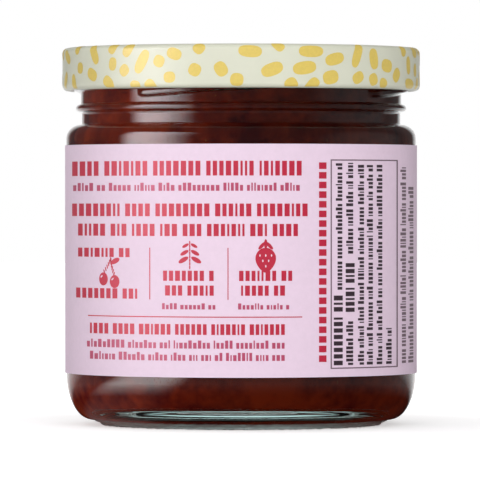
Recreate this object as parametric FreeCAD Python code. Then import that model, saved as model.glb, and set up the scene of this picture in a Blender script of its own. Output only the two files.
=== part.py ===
"""Small round glass jam jar: twist-off steel cap, wrap-round paper label, filled with red fruit jam.

Millimetres, +Z up.  The origin is the centre of the foot, on the surface the jar stands on.  The side of
the label that carries the small print faces -Y.  Angles named *_angle are turned from -Y towards +X.
The parts that fit each other are worked out from the glass: the jam fills its cavity, the label lies on
its straight wall and the cap is sized over its thread.
"""

import FreeCAD, Part
import math
import os

# ---- glass: body and foot -------------------------------------------------------------------------
BODY_RADIUS = 35.4         # outside of the straight wall
GLASS_HEIGHT = 76.0        # foot to sealing rim
WALL = 3.0                 # straight wall
FLOOR_HEIGHT = 5.0         # inside floor at its edge, above the foot
FLOOR_CROWN = 0.8          # the inside floor's rise at the middle
HEEL_HEIGHT = 10.4         # where the straight wall starts
HEEL_INSET = 5.0           # how far the heel curls in below the straight wall
FOOT_HEIGHT = 1.2          # the standing ring below the heel
FOOT_SLOPE = 1.1           # how far the ring's flank leans in
FOOT_STEP = 0.8            # the notch between the heel and the ring
FOOT_LAND = 2.6            # flat width that touches the table
FOOT_EDGE = 0.4            # rounding of the ring's outer edge
PUSH_UP = 2.2              # hollow under the base, at the middle

# ---- glass: shoulder, neck and finish ---------------------------------------------------------------
NECK_LENGTH = 15.3         # shoulder to sealing rim
NECK_WALL = 2.6
SHOULDER_STEP = 3.15       # neck smaller than the body, on the radius
NECK_FILLET = 0.3          # hollow corner where the neck meets the shoulder
INNER_SHOULDER = 6.5       # length of the smooth bend inside the shoulder
FINISH_STEP = 0.2          # the threaded part is this much larger than the plain neck
BEAD_DROP = 12.0           # sealing rim down to the middle of the bead
BEAD_RADIUS = 0.8          # rounding of the bead's nose
BEAD_DEPTH = 1.2           # bead beyond the plain neck
RIM_ROUNDING = 0.9         # both edges of the sealing rim

THREAD_STARTS = 4
THREAD_LEAD = 12.7         # rise in one full turn
THREAD_SPAN = 80.0         # degrees that one thread covers
THREAD_DROP = 10.15        # sealing rim down to the lower side of a thread's low end
THREAD_WIDTH = 1.8         # along the axis, at the root
THREAD_CREST = 0.8         # along the axis, at the crest
THREAD_DEPTH = 1.5
THREAD_BITE = 0.6          # root of the thread sunk into the glass, so that they are one
THREAD_ANGLE = -36.0       # low end of the first thread

# ---- steel cap --------------------------------------------------------------------------------------
CAP_SHEET = 0.25
CAP_HEIGHT = 8.7
CAP_CORNER = 1.2           # outside rounding at the top
CURL_DIAMETER = 2.1        # rolled edge, outside to outside
CURL_CLEARANCE = 0.15      # rolled edge to the crest of the thread
PANEL_DROP = 1.0           # the middle panel lies below the cap's rim
PANEL_CLEARANCE = 0.6      # panel's wall to the mouth of the glass
PANEL_SLOPE = 0.9
PANEL_ASIDE = 0.6          # sideways shift of the sheet's inner face, as a share of the sheet
SLOPE_ROUNDING = 0.5       # reach of a slope's rounding, as a share of its width
BUTTON_RADIUS = 9.0        # vacuum button
BUTTON_RISE = 0.4
BUTTON_SLOPE = 1.5

# ---- label ------------------------------------------------------------------------------------------
LABEL_PAPER = 0.25
LABEL_ABOVE_HEEL = 0.2
LABEL_BELOW_SHOULDER = 1.3
LABEL_GAP = 4.0            # bare glass between the label's two ends, along the wall
LABEL_GAP_ANGLE = 104.0    # middle of that gap

# ---- jam --------------------------------------------------------------------------------------------
FILL_DROP = 6.9            # sealing rim down to the jam

# ---- worked out from the sizes above -----------------------------------------------------------------
neck_radius = BODY_RADIUS - SHOULDER_STEP
finish_radius = neck_radius + FINISH_STEP
mouth_radius = finish_radius - NECK_WALL
cavity_radius = BODY_RADIUS - WALL
shoulder_radius = SHOULDER_STEP - NECK_FILLET
shoulder_height = GLASS_HEIGHT - NECK_LENGTH
wall_top = shoulder_height - shoulder_radius
bead_height = GLASS_HEIGHT - BEAD_DROP
foot_top_radius = BODY_RADIUS - HEEL_INSET - FOOT_STEP
foot_radius = foot_top_radius - FOOT_SLOPE
thread_radius = finish_radius + THREAD_DEPTH
cap_radius = thread_radius + CURL_CLEARANCE + CURL_DIAMETER
cap_top = GLASS_HEIGHT + CAP_SHEET
cap_bottom = cap_top - CAP_HEIGHT
fill_height = GLASS_HEIGHT - FILL_DROP

BEZIER_QUARTER = 0.5523    # handle length that turns a Bezier curve into a quarter of an ellipse
AXIS = FreeCAD.Vector(0, 0, 1)
ORIGIN = FreeCAD.Vector(0, 0, 0)


def at(radius, height):
    """A point of a turned outline."""
    return FreeCAD.Vector(radius, 0, height)


def turn_to_front(angle):
    """Degrees about +Z, from +X, of an angle counted from -Y towards +X."""
    return angle - 90.0


def line(start, end):
    return Part.LineSegment(start, end).toShape()


def arc(start, middle, end):
    return Part.Arc(start, middle, end).toShape()


def bezier(*poles):
    curve = Part.BezierCurve()
    curve.setPoles(list(poles))
    return curve.toShape()


def corner(start, apex, end):
    """A quarter of a circle or ellipse from start to end, tangent to both legs of the corner at apex."""
    first, last = start - apex, end - apex
    if abs(first.Length - last.Length) < 1e-6:
        centre = start + last
        middle = centre - (first + last).normalize() * first.Length
        return arc(start, middle, end)
    reach = 1 - BEZIER_QUARTER
    return bezier(start, apex + first * reach, apex + last * reach, end)


def turned(edges, degrees=360.0):
    """The solid that a closed outline in the XZ plane makes when it is turned about the axis."""
    face = Part.Face(Part.Wire(edges))
    solid = face.revolve(ORIGIN, AXIS, degrees)
    if solid.ShapeType != "Solid":
        solid = solid.Solids[0]
    if solid.Volume < 0:
        solid.reverse()
    return solid


def foot_outline():
    """Under the base, round the standing ring and up the heel, from the axis to the straight wall."""
    hollow_edge = at(foot_radius - FOOT_EDGE - FOOT_LAND, 0)
    hollow_middle = at(hollow_edge.x / 2, PUSH_UP * 0.78)
    hollow_top = at(0, PUSH_UP)
    land_edge = at(foot_radius - FOOT_EDGE, 0)
    flank_bottom = at(foot_radius, FOOT_EDGE)
    flank_top = at(foot_top_radius, FOOT_HEIGHT - FOOT_STEP / 2)
    heel_start = at(BODY_RADIUS - HEEL_INSET, FOOT_HEIGHT)
    heel_end = at(BODY_RADIUS, HEEL_HEIGHT)
    return [
        arc(hollow_top, hollow_middle, hollow_edge),
        line(hollow_edge, land_edge),
        corner(land_edge, at(foot_radius, 0), flank_bottom),
        line(flank_bottom, flank_top),
        corner(flank_top, at(foot_top_radius, FOOT_HEIGHT), heel_start),
        corner(heel_start, at(BODY_RADIUS, FOOT_HEIGHT), heel_end),
    ], heel_end


def finish_outline(start):
    """Up the straight wall, over the shoulder and bead and on to the sealing rim."""
    wall_end = at(BODY_RADIUS, wall_top)
    shoulder_end = at(neck_radius + NECK_FILLET, shoulder_height)
    neck_start = at(neck_radius, shoulder_height + NECK_FILLET)
    bead_low = at(neck_radius, bead_height - BEAD_RADIUS)
    nose = neck_radius + BEAD_DEPTH
    nose_low = at(nose - BEAD_RADIUS, bead_height - BEAD_RADIUS)
    nose_high = at(nose - BEAD_RADIUS, bead_height + BEAD_RADIUS)
    bead_high = at(finish_radius, bead_height + BEAD_RADIUS)
    rim_start = at(finish_radius, GLASS_HEIGHT - RIM_ROUNDING)
    rim_outer = at(finish_radius - RIM_ROUNDING, GLASS_HEIGHT)
    return [
        line(start, wall_end),
        corner(wall_end, at(BODY_RADIUS, shoulder_height), shoulder_end),
        corner(shoulder_end, at(neck_radius, shoulder_height), neck_start),
        line(neck_start, bead_low),
        line(bead_low, nose_low),
        arc(nose_low, at(nose, bead_height), nose_high),
        line(nose_high, bead_high),
        line(bead_high, rim_start),
        corner(rim_start, at(finish_radius, GLASS_HEIGHT), rim_outer),
    ], rim_outer


def cavity_outline(top):
    """The inside of the glass, from the axis at the floor up to a height in the neck."""
    crown = at(0, FLOOR_HEIGHT + FLOOR_CROWN)
    floor_edge = at(cavity_radius - HEEL_INSET + FOOT_STEP, FLOOR_HEIGHT)
    floor_middle = at(floor_edge.x / 2, FLOOR_HEIGHT + FLOOR_CROWN * 0.75)
    heel_end = at(cavity_radius, HEEL_HEIGHT)
    bend_start = at(cavity_radius, shoulder_height - INNER_SHOULDER)
    bend_end = at(mouth_radius, shoulder_height)
    half = INNER_SHOULDER / 2
    return [
        arc(crown, floor_middle, floor_edge),
        corner(floor_edge, at(cavity_radius, FLOOR_HEIGHT), heel_end),
        line(heel_end, bend_start),
        bezier(bend_start, bend_start + AXIS * half, bend_end - AXIS * half, bend_end),
        line(bend_end, at(mouth_radius, top)),
    ], crown, at(mouth_radius, top)


def thread():
    """One thread of the finish: a right-hand ridge that runs up to the right, with its root in the glass."""
    root = finish_radius - THREAD_BITE
    lean = (THREAD_WIDTH - THREAD_CREST) / 2
    low = GLASS_HEIGHT - THREAD_DROP
    outline = [
        at(root, low),
        at(finish_radius, low),
        at(thread_radius, low + lean),
        at(thread_radius, low + lean + THREAD_CREST),
        at(finish_radius, low + THREAD_WIDTH),
        at(root, low + THREAD_WIDTH),
    ]
    profile = Part.makePolygon(outline + outline[:1])
    helix = Part.makeHelix(THREAD_LEAD, THREAD_LEAD * THREAD_SPAN / 360.0, finish_radius)
    helix.translate(AXIS * low)
    ridge = Part.Wire(helix.Edges).makePipeShell([profile], True, True)
    if ridge.Volume < 0:
        ridge.reverse()
    return ridge


def jar():
    """The glass: a turned wall and foot with the threads fused on."""
    foot, wall_start = foot_outline()
    finish, rim_outer = finish_outline(wall_start)
    rim_inner = at(mouth_radius + RIM_ROUNDING, GLASS_HEIGHT)
    cavity, crown, mouth = cavity_outline(GLASS_HEIGHT - RIM_ROUNDING)
    rim = [
        line(rim_outer, rim_inner),
        corner(rim_inner, at(mouth_radius, GLASS_HEIGHT), mouth),
    ]
    axis = [line(crown, at(0, PUSH_UP))]
    glass = turned(foot + finish + rim + cavity[::-1] + axis)
    ridges = []
    for number in range(THREAD_STARTS):
        ridge = thread()
        angle = turn_to_front(THREAD_ANGLE) + number * 360.0 / THREAD_STARTS
        ridge.rotate(ORIGIN, AXIS, angle)
        ridges.append(ridge)
    return glass.fuse(ridges).removeSplitter()


def jam():
    """The filling: the whole cavity up to its level."""
    cavity, crown, edge = cavity_outline(fill_height)
    surface = [line(edge, at(0, fill_height))]
    axis = [line(at(0, fill_height), crown)]
    return turned(cavity + surface + axis)


def label():
    """Paper round the straight wall, with its two ends a short gap apart."""
    low = HEEL_HEIGHT + LABEL_ABOVE_HEEL
    high = wall_top - LABEL_BELOW_SHOULDER
    outer = BODY_RADIUS + LABEL_PAPER
    gap = math.degrees(LABEL_GAP / BODY_RADIUS)
    corners = [at(BODY_RADIUS, low), at(outer, low), at(outer, high), at(BODY_RADIUS, high)]
    strip = turned(Part.makePolygon(corners + corners[:1]).Edges, 360.0 - gap)
    strip.rotate(ORIGIN, AXIS, turn_to_front(LABEL_GAP_ANGLE) + gap / 2)
    return strip


def cap():
    """The pressed steel cap: sunk panel with a vacuum button, rounded edge, plain skirt, edge rolled in."""
    sheet = CAP_SHEET
    panel_top = cap_top - PANEL_DROP
    button_top = panel_top + BUTTON_RISE
    panel_edge = mouth_radius - PANEL_CLEARANCE - PANEL_SLOPE - sheet
    rim_edge = panel_edge + PANEL_SLOPE
    slopes = [
        (at(BUTTON_RADIUS, button_top), at(BUTTON_RADIUS + BUTTON_SLOPE, panel_top), 0),
        (at(panel_edge, panel_top), at(rim_edge, cap_top), PANEL_ASIDE),
    ]

    def skin(drop):
        """Panel, slopes and rim of one face of the sheet, from the axis outwards."""
        edges = []
        start = at(0, button_top - drop)
        for inside, outside, aside in slopes:
            shift = at(aside * drop, -drop)
            near, far = inside + shift, outside + shift
            edges.append(line(start, near))
            reach = at((far.x - near.x) * SLOPE_ROUNDING, 0)
            edges.append(bezier(near, near + reach, far - reach, far))
            start = far
        return edges, start

    outer, outer_end = skin(0)
    inner, inner_end = skin(sheet)
    corner_start = at(cap_radius - CAP_CORNER, cap_top)
    skirt_top = at(cap_radius, cap_top - CAP_CORNER)
    curl = CURL_DIAMETER / 2
    curl_middle = at(cap_radius - curl, cap_bottom + curl)
    curl_outer = curl_middle + at(curl, 0)
    curl_inner = curl_middle - at(curl, 0)
    meets = math.sqrt(curl ** 2 - (curl - sheet) ** 2)
    skirt_inner = at(cap_radius - sheet, curl_middle.z + meets)
    inner_top = at(cap_radius - sheet, cap_top - CAP_CORNER)
    inner_corner = at(cap_radius - CAP_CORNER, cap_top - sheet)
    over = curl_middle + at(0, curl)
    edges = outer + [
        line(outer_end, corner_start),
        corner(corner_start, at(cap_radius, cap_top), skirt_top),
        line(skirt_top, curl_outer),
        arc(curl_outer, curl_middle - at(0, curl), curl_inner),
        arc(curl_inner, over, skirt_inner),
        line(skirt_inner, inner_top),
        corner(inner_top, at(cap_radius - sheet, cap_top - sheet), inner_corner),
        line(inner_corner, inner_end),
    ] + inner[::-1] + [line(at(0, button_top - sheet), at(0, button_top))]
    return turned(edges)


def main():
    os.makedirs("parts", exist_ok=True)
    for name, shape in (("jar", jar()), ("jam", jam()), ("label", label()), ("cap", cap())):
        solids = shape.Solids
        if len(solids) != 1 or not shape.isValid():
            raise RuntimeError(f"{name}: {len(solids)} solids, valid {shape.isValid()}")
        solids[0].exportStep(f"parts/{name}.step")
        box = solids[0].BoundBox
        print(f"{name}: {solids[0].Volume / 1000:.2f} ml, {box.XLength:.2f} x {box.YLength:.2f} x {box.ZLength:.2f}, "
              f"z {box.ZMin:.2f} to {box.ZMax:.2f}")


main()
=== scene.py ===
"""Jam jar: the looks of a small round glass jar of dark red jam with a paper label and a steel twist-off cap.

The packed model is the frame.  Every piece is modelled in metres where the frame says it lies: the glass,
the jam with its seeds and fruit, the label with its print, and the printed cap.  The small print faces -Y.
"""

import math
import random
from functools import partial

import bmesh
import bpy
from mathutils import Euler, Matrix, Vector


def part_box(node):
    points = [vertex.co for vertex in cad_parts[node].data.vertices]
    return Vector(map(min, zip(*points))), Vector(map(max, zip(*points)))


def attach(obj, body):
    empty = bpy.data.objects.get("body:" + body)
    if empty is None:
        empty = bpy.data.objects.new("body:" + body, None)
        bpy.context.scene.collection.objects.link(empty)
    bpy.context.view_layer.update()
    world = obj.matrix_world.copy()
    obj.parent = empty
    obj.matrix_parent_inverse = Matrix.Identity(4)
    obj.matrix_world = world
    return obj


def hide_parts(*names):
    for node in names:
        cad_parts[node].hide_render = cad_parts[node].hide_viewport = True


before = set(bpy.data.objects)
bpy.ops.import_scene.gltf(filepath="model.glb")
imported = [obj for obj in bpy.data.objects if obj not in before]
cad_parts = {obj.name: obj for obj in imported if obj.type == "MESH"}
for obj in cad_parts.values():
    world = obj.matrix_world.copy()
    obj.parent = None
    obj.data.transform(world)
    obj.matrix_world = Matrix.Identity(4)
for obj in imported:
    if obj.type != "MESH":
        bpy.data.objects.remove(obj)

bl_info = {
    "name": "Jam jar",
    "version": (1, 0, 0),
    "blender": (4, 5, 0),
    "location": "View3D > Sidebar > Jam jar",
    "description": "Models a glass jam jar with its jam, label and cap",
    "category": "Add Mesh",
}

MM = 0.001
TURN = 2 * math.pi

# ---- what the frame says ----------------------------------------------------------------------------
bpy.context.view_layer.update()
BODY_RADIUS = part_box("jar")[1].x
GLASS_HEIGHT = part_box("jar")[1].z
CAVITY_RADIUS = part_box("jam")[1].x
FLOOR_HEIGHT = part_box("jam")[0].z
FILL_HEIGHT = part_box("jam")[1].z
LABEL_RADIUS = -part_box("label")[0].y
LABEL_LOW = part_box("label")[0].z
LABEL_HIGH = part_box("label")[1].z
CAP_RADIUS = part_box("cap")[1].x
CAP_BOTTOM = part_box("cap")[0].z
CAP_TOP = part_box("cap")[1].z

WINDOW_PLACE = (-0.86, -0.51, 0.3)            # the soft window at the left, in metres
WINDOW_HEADING = (-0.86, -0.51, 0)
GLASS_IOR = 1.52
INK_GRAIN = 0.4 * MM       # coarser than real ink, so that it shows


def linear(hex_value):
    """Linear red, green and blue of an sRGB colour written as six hex digits."""
    channels = [int(hex_value[i:i + 2], 16) / 255 for i in (0, 2, 4)]
    return [c / 12.92 if c <= 0.04045 else ((c + 0.055) / 1.055) ** 2.4 for c in channels]


def length(name, description, millimetres):
    """A size that a user can change."""
    return bpy.props.FloatProperty(
        name=name, description=description, default=millimetres * MM, subtype="DISTANCE", unit="LENGTH"
    )


def angle(name, description, degrees):
    """An angle that a user can change."""
    return bpy.props.FloatProperty(
        name=name, description=description, default=math.radians(degrees), subtype="ANGLE", unit="ROTATION"
    )


def count(name, description, number):
    """A number of things that a user can change."""
    return bpy.props.IntProperty(name=name, description=description, default=number, min=1)


def level(name, description, number):
    """A strength of light that a user can change."""
    return bpy.props.FloatProperty(name=name, description=description, default=number, min=0)


def colour(name, description, hex_value):
    """A colour that a user can change."""
    return bpy.props.FloatVectorProperty(
        name=name, description=description, default=linear(hex_value), subtype="COLOR", size=3, min=0, max=1
    )


# ---- sizes and colours ------------------------------------------------------------------------------
class GlassSettings(bpy.types.PropertyGroup):
    """The glass, from its foot to its sealing rim."""

    floor_crown: length("Floor crown", "Rise of the inside floor at its middle", 0.8)
    heel_height: length("Heel height", "Where the straight wall starts", 10.4)
    heel_inset: length("Heel inset", "How far the heel curls in", 5.0)
    foot_height: length("Foot height", "Height of the standing ring", 1.2)
    foot_slope: length("Foot slope", "How far the ring's flank leans in", 1.1)
    foot_step: length("Foot step", "Notch between the heel and the ring", 0.8)
    foot_land: length("Foot land", "Width of the ring that touches the table", 2.6)
    foot_edge: length("Foot edge", "Rounding of the ring", 0.4)
    push_up: length("Push-up", "Hollow under the base", 2.2)
    neck_length: length("Neck length", "Shoulder to sealing rim", 15.3)
    neck_wall: length("Neck wall", "Thickness of the neck", 2.6)
    shoulder_step: length("Shoulder step", "Neck smaller than the body, on the radius", 3.15)
    neck_fillet: length("Neck fillet", "Hollow corner at the foot of the neck", 0.3)
    inner_shoulder: length("Inner shoulder", "Length of the bend inside the shoulder", 6.5)
    finish_step: length("Finish step", "Threaded part larger than the plain neck", 0.2)
    bead_drop: length("Bead drop", "Sealing rim down to the bead", 12.0)
    bead_radius: length("Bead rounding", "Rounding of the bead's nose", 0.8)
    bead_depth: length("Bead depth", "Bead beyond the plain neck", 1.2)
    rim_rounding: length("Rim rounding", "Rounding of the sealing rim", 0.9)
    thread_starts: count("Thread starts", "Number of threads", 4)
    thread_lead: length("Thread lead", "Rise in one full turn", 12.7)
    thread_span: angle("Thread span", "Angle that one thread covers", 80)
    thread_drop: length("Thread drop", "Sealing rim down to a thread's low end", 10.15)
    thread_width: length("Thread width", "Width of a thread at its root", 1.8)
    thread_flank: length("Thread flank", "Width of a thread's sloped side", 0.5)
    thread_depth: length("Thread depth", "Height of a thread above the glass", 1.45)
    thread_angle: angle("Thread angle", "Low end of the first thread, from the front", -36)
    seam_angle: angle("Mould seam", "Where the mould's halves met, from the front", 2)
    seam_width: length("Seam width", "Width of the seam line", 0.34)
    seam_depth: length("Seam depth", "Height of the seam line", 0.07)
    stipple_depth: length("Stipple depth", "Depth of the uneven marks on the ring", 0.22)
    tint: colour("Glass tint", "Faint green of clear container glass", "F1FAF7")


class JamSettings(bpy.types.PropertyGroup):
    """The filling and what is in it."""

    reach: length("Reach", "How far the jam reaches into the wall, so that no air shows", 0.12)
    meniscus: length("Meniscus", "How far the jam climbs the glass", 0.7)
    seed_count: count("Seeds", "Seeds that lie against the glass", 260)
    seed_length: length("Seed length", "Length of a seed", 1.5)
    fruit_count: count("Fruit pieces", "Pieces of fruit that lie against the glass", 44)
    fruit_length: length("Fruit length", "Length of a piece of fruit", 5.0)
    deep: colour("Deep jam", "The darkest jam", "581213")
    bright: colour("Bright jam", "Jam where more light comes through", "9C3317")
    seed: colour("Seed", "Seeds under the jam", "8A4420")
    fruit: colour("Fruit", "Pieces of fruit", "7A2214")


class LabelSettings(bpy.types.PropertyGroup):
    """The paper label and its print."""

    paper: length("Paper", "Thickness of the label", 0.23)
    gap: length("Gap", "Bare glass between the label's two ends", 4.0)
    gap_angle: angle("Gap angle", "Middle of the gap, from the front", 104)
    ink: length("Ink", "How far the print stands proud", 0.035)
    overprint: length("Overprint", "How far marks on the print stand proud", 0.055)
    reading_distance: length("Reading distance", "Distance from which the layout reads evenly", 1107)
    pink: colour("Paper pink", "The label's paper", "F1D9EC")
    crimson: colour("Crimson ink", "Heavy print", "C4203F")
    rose: colour("Rose ink", "Fine print in a thin crimson line", "BC4A6C")
    dark: colour("Dark ink", "Print in the panel", "3A2A34")
    grey: colour("Grey ink", "Fine print beside the panel", "7C6672")
    yellow: colour("Yellow ink", "Ovals on the hidden side", "E8CD68")


class CapSettings(bpy.types.PropertyGroup):
    """The pressed steel cap and its print."""

    sheet: length("Sheet", "Thickness of the steel", 0.25)
    corner: length("Corner", "Rounding of the top edge", 1.2)
    curl: length("Curl", "Diameter of the rolled edge", 2.1)
    panel_drop: length("Panel drop", "Middle panel below the rim", 1.0)
    panel_clearance: length("Panel clearance", "Panel's wall to the mouth of the glass", 0.6)
    panel_slope: length("Panel slope", "Width of the panel's sloped wall", 0.9)
    button_radius: length("Button radius", "Radius of the vacuum button", 9.0)
    button_rise: length("Button rise", "Height of the vacuum button", 0.4)
    button_slope: length("Button slope", "Width of the button's sloped wall", 1.5)
    oval_count: count("Ovals on the skirt", "Printed ovals round the skirt", 96)
    oval_long: length("Longest oval", "Length of the longest oval", 5.4)
    oval_short: length("Shortest oval", "Length of the shortest oval", 2.4)
    oval_space: length("Oval space", "Least space between two ovals", 0.6)
    ink: length("Ink", "How far the ovals stand proud", 0.03)
    enamel: colour("Enamel", "Off-white enamel", "E2E3D0")
    yellow: colour("Yellow ink", "Ovals on the cap", "E8CD68")


class StageSettings(bpy.types.PropertyGroup):
    """Camera, lamps and floor."""

    distance: length("Camera distance", "Camera to the jar's axis", 1107)
    height: length("Camera height", "Camera above the floor", 44.9)
    shift: length("Camera shift", "Camera left of the jar's axis", 0.21)
    tilt: angle("Camera tilt", "How far the camera looks down", 0.388)
    floor: colour("Floor", "Plain pale floor", "F2F2F2")
    left_light: level("Left light", "Soft light from the left", 0.66)
    right_light: level("Right light", "Soft light from the right", 0.22)


GROUPS = {
    "jam_jar_glass": GlassSettings,
    "jam_jar_jam": JamSettings,
    "jam_jar_label": LabelSettings,
    "jam_jar_cap": CapSettings,
    "jam_jar_stage": StageSettings,
}


# ---- modelling --------------------------------------------------------------------------------------
def start_piece(piece=None):
    """Object mode is on, and only this piece, or nothing, is selected."""
    if bpy.context.mode != "OBJECT":
        bpy.ops.object.mode_set(mode="OBJECT")
    bpy.ops.object.select_all(action="DESELECT")
    if piece:
        piece.select_set(True)
        bpy.context.view_layer.objects.active = piece


def new_piece(name):
    """A small plane in edit mode with all of it selected, from which the piece is made."""
    start_piece()
    bpy.ops.mesh.primitive_plane_add(size=MM, location=(0, 0, 0))
    piece = bpy.context.object
    piece.name = name
    piece.data.name = name
    bpy.ops.object.mode_set(mode="EDIT")
    bpy.ops.mesh.select_all(action="SELECT")
    return piece


def new_sheet(name):
    """A piece with no faces yet, left in edit mode."""
    piece = new_piece(name)
    bpy.ops.mesh.delete(type="VERT")
    return piece


def apply_all(piece):
    """Applies each modifier of a piece, in order."""
    start_piece(piece)
    for modifier in list(piece.modifiers):
        bpy.ops.object.modifier_apply(modifier=modifier.name)


def finish_piece(piece, slot, *materials, node=None, smooth=40):
    """Gives a piece its shading, materials and body."""
    start_piece(piece)
    bpy.ops.object.shade_smooth_by_angle(angle=math.radians(smooth))
    piece.data.materials.clear()
    for each in materials:
        piece.data.materials.append(each)
    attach(piece, "root")
    if node:
        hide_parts(node)


class Outline:
    """Points of a turned outline, as radius and height, added one stretch at a time."""

    def __init__(self, radius, height):
        self.points = [(radius, height)]

    def to(self, radius, height, steps=1):
        """A straight stretch."""
        r, z = self.points[-1]
        for i in range(1, steps + 1):
            self.points.append((r + (radius - r) * i / steps, z + (height - z) * i / steps))

    def corner(self, apex, end, steps=6):
        """A quarter of a circle or ellipse, tangent to both legs of the corner at apex."""
        (r, z), (ar, az), (er, ez) = self.points[-1], apex, end
        for i in range(1, steps + 1):
            t = math.pi / 2 * i / steps
            a, b = 1 - math.sin(t), 1 - math.cos(t)
            self.points.append((ar + (r - ar) * a + (er - ar) * b, az + (z - az) * a + (ez - az) * b))

    def bow(self, radius, height, steps):
        """A stretch that starts level and steepens."""
        r, z = self.points[-1]
        for i in range(1, steps + 1):
            t = i / steps
            self.points.append((r + (radius - r) * t, z + (height - z) * t ** 2))

    def ease(self, radius, height, steps):
        """An S-shaped stretch, upright at both ends."""
        r, z = self.points[-1]
        for i in range(1, steps + 1):
            t = i / steps
            across = t * t * (3 - 2 * t)
            self.points.append((r + (radius - r) * across, z + (height - z) * t))


def spin_outline(name, points, segments):
    """A closed turned piece: one vertex is extruded along the outline, and the outline is spun."""
    piece = new_piece(name)
    bpy.ops.mesh.merge(type="CENTER")
    bpy.ops.transform.translate(value=(points[0][0], 0, points[0][1]))
    for (r, z), (next_r, next_z) in zip(points, points[1:]):
        step = (next_r - r, 0, next_z - z)
        bpy.ops.mesh.extrude_region_move(TRANSFORM_OT_translate={"value": step})
    bpy.ops.mesh.select_all(action="SELECT")
    bpy.ops.mesh.spin(steps=segments, angle=TURN, center=(0, 0, 0), axis=(0, 0, 1))
    bpy.ops.mesh.select_all(action="SELECT")
    bpy.ops.mesh.remove_doubles(threshold=MM / 500)
    bpy.ops.mesh.normals_make_consistent(inside=False)
    bpy.ops.object.mode_set(mode="OBJECT")
    return piece


def push_out(piece, name, weights, distance):
    """Moves vertices along their normals by weight times distance; weights maps vertex numbers to 0..1."""
    group = piece.vertex_groups.new(name=name)
    for index, weight in weights.items():
        group.add([index], weight, "REPLACE")
    modifier = piece.modifiers.new(name, "DISPLACE")
    modifier.vertex_group = name
    modifier.mid_level = 0
    modifier.strength = distance
    apply_all(piece)
    piece.vertex_groups.clear()


def smooth_step(low, high, value):
    """0 below low, 1 above high, and an even rise between."""
    t = min(1, max(0, (value - low) / (high - low)))
    return t * t * (3 - 2 * t)


def front_angle(point):
    """Angle of a point about the axis, from -Y towards +X."""
    return math.atan2(point.x, -point.y)


# ---- materials --------------------------------------------------------------------------------------
def add_node(tree, kind, inputs=None, **settings):
    """Adds a ShaderNode of a kind with its settings; an input is a value or the socket that feeds it."""
    node = tree.nodes.new("ShaderNode" + kind)
    for key, value in settings.items():
        setattr(node, key, value)
    for key, value in (inputs or {}).items():
        if isinstance(value, bpy.types.NodeSocket):
            tree.links.new(value, node.inputs[key])
        else:
            node.inputs[key].default_value = value
    return node


def new_material(name, **values):
    """A material, its tree and its shader with these values, whose names have _ for a space."""
    material = bpy.data.materials.new(name)
    material.use_nodes = True
    tree = material.node_tree
    shader = tree.nodes["Principled BSDF"]
    for key, value in values.items():
        shader.inputs[key.replace("_", " ")].default_value = value
    return material, tree, shader


def rgba(rgb):
    """A colour with full alpha."""
    return (rgb[0], rgb[1], rgb[2], 1)


def noise_relief(tree, shader, grain, detail, roughness, strength, depth):
    """A fine uneven surface; returns its noise, for a colour that follows the same marks."""
    place = add_node(tree, "TexCoord")
    noise = add_node(
        tree, "TexNoise",
        {"Vector": place.outputs["Object"], "Scale": 1 / grain, "Detail": detail, "Roughness": roughness},
    )
    bump = add_node(tree, "Bump", {"Height": noise.outputs["Fac"], "Strength": strength, "Distance": depth})
    tree.links.new(bump.outputs["Normal"], shader.inputs["Normal"])
    return noise


def noise_tone(tree, shader, rgb, grain, detail, roughness, low, high):
    """A colour made unevenly darker and lighter, from low to high times its own brightness."""
    place = add_node(tree, "TexCoord")
    noise = add_node(
        tree, "TexNoise",
        {"Vector": place.outputs["Object"], "Scale": 1 / grain, "Detail": detail, "Roughness": roughness},
    )
    tone = add_node(
        tree, "MapRange",
        {"Value": noise.outputs["Fac"], "From Min": 0.3, "From Max": 0.7, "To Min": low, "To Max": high},
    )
    mixed = add_node(tree, "VectorMath", {0: tuple(rgb), "Scale": tone.outputs["Result"]}, operation="SCALE")
    tree.links.new(mixed.outputs["Vector"], shader.inputs["Base Color"])


def moulded_glass(settings, name, roughness, clear):
    """Clear soda-lime glass, blown in a mould: a faint long wave that bends what it reflects."""
    material, tree, shader = new_material(
        name, Base_Color=rgba(settings.tint), Roughness=roughness, IOR=GLASS_IOR, Transmission_Weight=clear
    )
    noise_relief(tree, shader, 14 * MM, 1, 0.4, 0.35, 0.5 * MM)
    return material


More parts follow.
